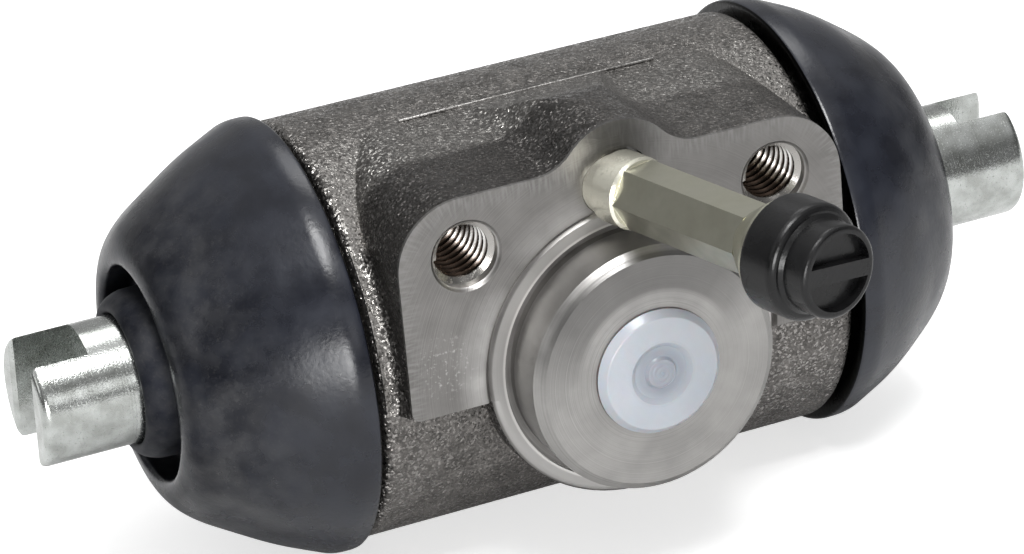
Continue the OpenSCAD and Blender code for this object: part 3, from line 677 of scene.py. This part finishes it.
# %% Threads of the mounting holes
def close_winding(angle):
    bpy.ops.object.mode_set(mode="EDIT")
    bpy.ops.mesh.select_all(action="SELECT")
    bpy.ops.mesh.fill_holes(sides=0)
    bpy.ops.mesh.select_all(action="SELECT")
    bpy.ops.mesh.normals_make_consistent(inside=False)
    bpy.ops.object.mode_set(mode="OBJECT")
    bpy.ops.object.transform_apply(location=True, rotation=True, scale=True)
    bpy.ops.object.shade_smooth_by_angle(angle=math.radians(angle))


PITCH = 1.25 * MM
TURNS = 9
THREAD_START = 1.2 * MM
SECTION_R = 3.68 * MM
SECTION_DEEP = 0.36
SECTION_BROAD = 0.56
CREST_SHARE = 0.26
for side, name in ((-1, "left"), (1, "right")):
    bpy.ops.object.select_all(action="DESELECT")
    bpy.ops.mesh.primitive_plane_add(size=2 * MM, location=(side * BOLT_X, THREAD_START, BOLT_Z))
    thread = bpy.context.object
    thread.name = name + "_thread"
    bpy.ops.object.mode_set(mode="EDIT")
    bpy.ops.mesh.select_all(action="SELECT")
    bpy.ops.transform.resize(value=(SECTION_DEEP, SECTION_BROAD, 1))
    bpy.ops.transform.translate(value=(-SECTION_R, 0, 0))
    bpy.ops.mesh.select_all(action="DESELECT")
    bpy.ops.object.mode_set(mode="OBJECT")
    for edge_end in thread.data.vertices:
        edge_end.select = edge_end.co.x > -SECTION_R
    bpy.ops.object.mode_set(mode="EDIT")
    bpy.ops.transform.resize(value=(1, CREST_SHARE, 1), center_override=tuple(thread.location))
    bpy.ops.mesh.select_all(action="SELECT")
    bpy.ops.mesh.delete(type="ONLY_FACE")
    bpy.ops.object.mode_set(mode="OBJECT")
    wind = thread.modifiers.new("wind", "SCREW")
    wind.axis = "Y"
    wind.screw_offset = PITCH
    wind.iterations = TURNS
    wind.steps = wind.render_steps = 48
    wind.use_merge_vertices = False
    bpy.ops.object.modifier_apply(modifier="wind")
    close_winding(35)
    thread.data.materials.append(thread_metal)
    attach(thread, "cylinder")
    print(thread.name, len(thread.data.polygons), "faces")

# %% [markdown]
# The return spring is pressed from both ends. Each half is a wire section wound along the bore from the middle
# outwards.

# %% Return spring in two halves
COIL_R = 8.8 * MM
WIRE_R = 0.7 * MM
HALF_WINDING = math.radians(810)
MIDDLE_X = -0.9 * MM
HALF_SPAN = 9.8 * MM
for side, name in ((-1, "left"), (1, "right")):
    bpy.ops.object.select_all(action="DESELECT")
    bpy.ops.mesh.primitive_circle_add(
        vertices=12, radius=WIRE_R, location=(MIDDLE_X, BORE_Y, BORE_Z), rotation=(math.pi / 2, 0, 0))
    coil = bpy.context.object
    coil.name = name + "_spring_half"
    bpy.ops.object.transform_apply(location=False, rotation=True, scale=True)
    bpy.ops.object.mode_set(mode="EDIT")
    bpy.ops.mesh.select_all(action="SELECT")
    bpy.ops.transform.translate(value=(0, 0, COIL_R), orient_type="GLOBAL")
    bpy.ops.object.mode_set(mode="OBJECT")
    wind = coil.modifiers.new("wind", "SCREW")
    wind.axis = "X"
    wind.angle = side * HALF_WINDING
    wind.screw_offset = side * HALF_SPAN
    wind.steps = wind.render_steps = 96
    bpy.ops.object.modifier_apply(modifier="wind")
    close_winding(50)
    coil.data.materials.append(spring_wire)
    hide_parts("return_spring")
    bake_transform(coil)
    print(coil.name, len(coil.data.polygons), "faces")

# %% [markdown]
# The mould left a thin parting line along the top of the barrel: a low ridge, tapered at both ends. Handling has
# rubbed its high spots bright.

# %% Parting line
rubbed, tree, into, place = new_material("rubbed_ridge", Metallic=1.0, Roughness=0.4)
spots = use(tree, grain, Place=place, Size=0.45 * MM)
worn = maths(tree, "MAXIMUM", spots["Specks"], maths(tree, "MULTIPLY", spots["Patches"], 0.5))
plug_in(tree, into["Base Color"], mix(tree, "RGBA", worn, (0.14, 0.133, 0.126, 1), (0.80, 0.785, 0.765, 1)))
bump(tree, into, spots["Height"], 0.6, 0.15 * MM)

SEAM_MIDDLE = (-0.6 * MM, BORE_Y - 4.15 * MM, BORE_Z + 25.45 * MM)
SEAM_SIZE = (33 * MM, 0.5 * MM, 0.6 * MM)
SEAM_LEAN = math.radians(9.5)
SEAM_BEVEL = 0.16 * MM
SEAM_END_X = 16.4 * MM
bpy.ops.object.select_all(action="DESELECT")
bpy.ops.mesh.primitive_cube_add(size=1, location=SEAM_MIDDLE, scale=SEAM_SIZE)
seam = bpy.context.object
seam.name = "parting_line"
bpy.ops.object.transform_apply(location=False, rotation=False, scale=True)
bpy.ops.object.mode_set(mode="EDIT")
bpy.ops.mesh.select_all(action="SELECT")
bpy.ops.transform.rotate(value=SEAM_LEAN, orient_axis="X", center_override=SEAM_MIDDLE)
bpy.ops.mesh.bevel(offset=SEAM_BEVEL, segments=2)
bpy.ops.object.mode_set(mode="OBJECT")
for point in seam.data.vertices:
    point.select = abs(point.co.x) > SEAM_END_X
bpy.ops.object.mode_set(mode="EDIT")
bpy.ops.transform.resize(value=(1, 0.5, 0.5), center_override=SEAM_MIDDLE)
bpy.ops.object.mode_set(mode="OBJECT")
bpy.ops.object.transform_apply(location=True, rotation=True, scale=True)
bpy.ops.object.shade_smooth_by_angle(angle=math.radians(50))
seam.data.materials.append(rubbed)
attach(seam, "cylinder")
print(seam.name, len(seam.data.polygons), "faces")

# %% [markdown]
# The floor is pale and lies under the boots. It adds a little white of its own where the camera or a mirror-like
# surface looks at it, so that the ground is white and still shows the soft shadow.

# %% Floor
FLOOR_GLOW = 0.64
MIRROR_GLOW = 0.05
bpy.ops.object.select_all(action="DESELECT")
bpy.ops.mesh.primitive_plane_add(size=6, location=(0, 0, FLOOR_Z))
floor = bpy.context.object
floor.name = "floor"
paper = bpy.data.materials.new("floor_paper")
paper.use_nodes = True
tree = paper.node_tree
tree.nodes.remove(tree.nodes["Principled BSDF"])
path = node(tree, "LightPath").outputs
by_mirror = maths(tree, "MAXIMUM", path["Is Glossy Ray"], path["Is Transmission Ray"])
by_camera = maths(tree, "MULTIPLY", path["Is Camera Ray"], FLOOR_GLOW)
seen = maths(tree, "MAXIMUM", by_camera, maths(tree, "MULTIPLY", by_mirror, MIRROR_GLOW))
matt = node(tree, "BsdfDiffuse", Color=(0.72, 0.72, 0.72, 1)).outputs[0]
glow = node(tree, "Emission", Color=(1, 1, 1, 1), Strength=seen).outputs[0]
both = tree.nodes.new("ShaderNodeAddShader")
tree.links.new(matt, both.inputs[0])
tree.links.new(glow, both.inputs[1])
tree.links.new(both.outputs[0], tree.nodes["Material Output"].inputs["Surface"])
floor.data.materials.append(paper)
print("floor at", round(FLOOR_Z, 4))

# %% [markdown]
# Six soft boxes light the part: the main ones stand overhead and low in front, where they draw the highlights on the
# boots, and a third stands behind for the bright band on the barrel. The others only fill.

# %% Soft boxes
def soft_box(name, azimuth, elevation, distance, width, height, power):
    a, e = math.radians(azimuth), math.radians(elevation)
    away = Vector((math.sin(a) * math.cos(e), -math.cos(a) * math.cos(e), math.sin(e)))
    facing = away.to_track_quat("Z", "Y").to_euler()
    bpy.ops.object.light_add(type="AREA", location=BORE_MIDDLE + away * distance, rotation=facing)
    lamp = bpy.context.object
    lamp.name = name
    lamp.data.shape = "RECTANGLE"
    lamp.data.size, lamp.data.size_y = width, height
    lamp.data.energy = power
    print("soft box", name, "at", tuple(round(v, 2) for v in lamp.location))


soft_box("overhead_box", -8, 65, 0.9, 0.34, 0.28, 6.6)
soft_box("back_box", 144, 62, 0.9, 0.42, 0.4, 1.8)
soft_box("front_box", -18, 4, 0.9, 0.42, 0.28, 5.4)
soft_box("fill_box", 12, 20, 1.0, 0.22, 0.3, 0.35)
soft_box("left_box", -80, 28, 1.0, 0.35, 0.5, 0.7)
soft_box("right_box", 110, 45, 1.0, 0.4, 0.6, 0.35)

# %% [markdown]
# The world is bright above and behind and dim towards the horizon. The camera itself sees plain white.

# %% World
world = bpy.data.worlds.new("studio")
bpy.context.scene.world = world
world.use_nodes = True
tree = world.node_tree
sky = coordinates(tree, node(tree, "TexCoord").outputs["Generated"])
above, behind = ramp(tree, sky["Z"], 0.5, 0.9, 0.15, 0.6), ramp(tree, sky["Y"], 0.2, 0.9, 0.0, 0.25)
path = node(tree, "LightPath").outputs
white = maths(tree, "MAXIMUM", path["Is Camera Ray"], path["Is Transmission Ray"])
light = mix(tree, "FLOAT", white, maths(tree, "ADD", above, behind), 1.0)
plug_in(tree, tree.nodes["Background"].inputs["Strength"], light)
plug_in(tree, tree.nodes["Background"].inputs["Color"], (1, 1, 1, 1))
print("world set")
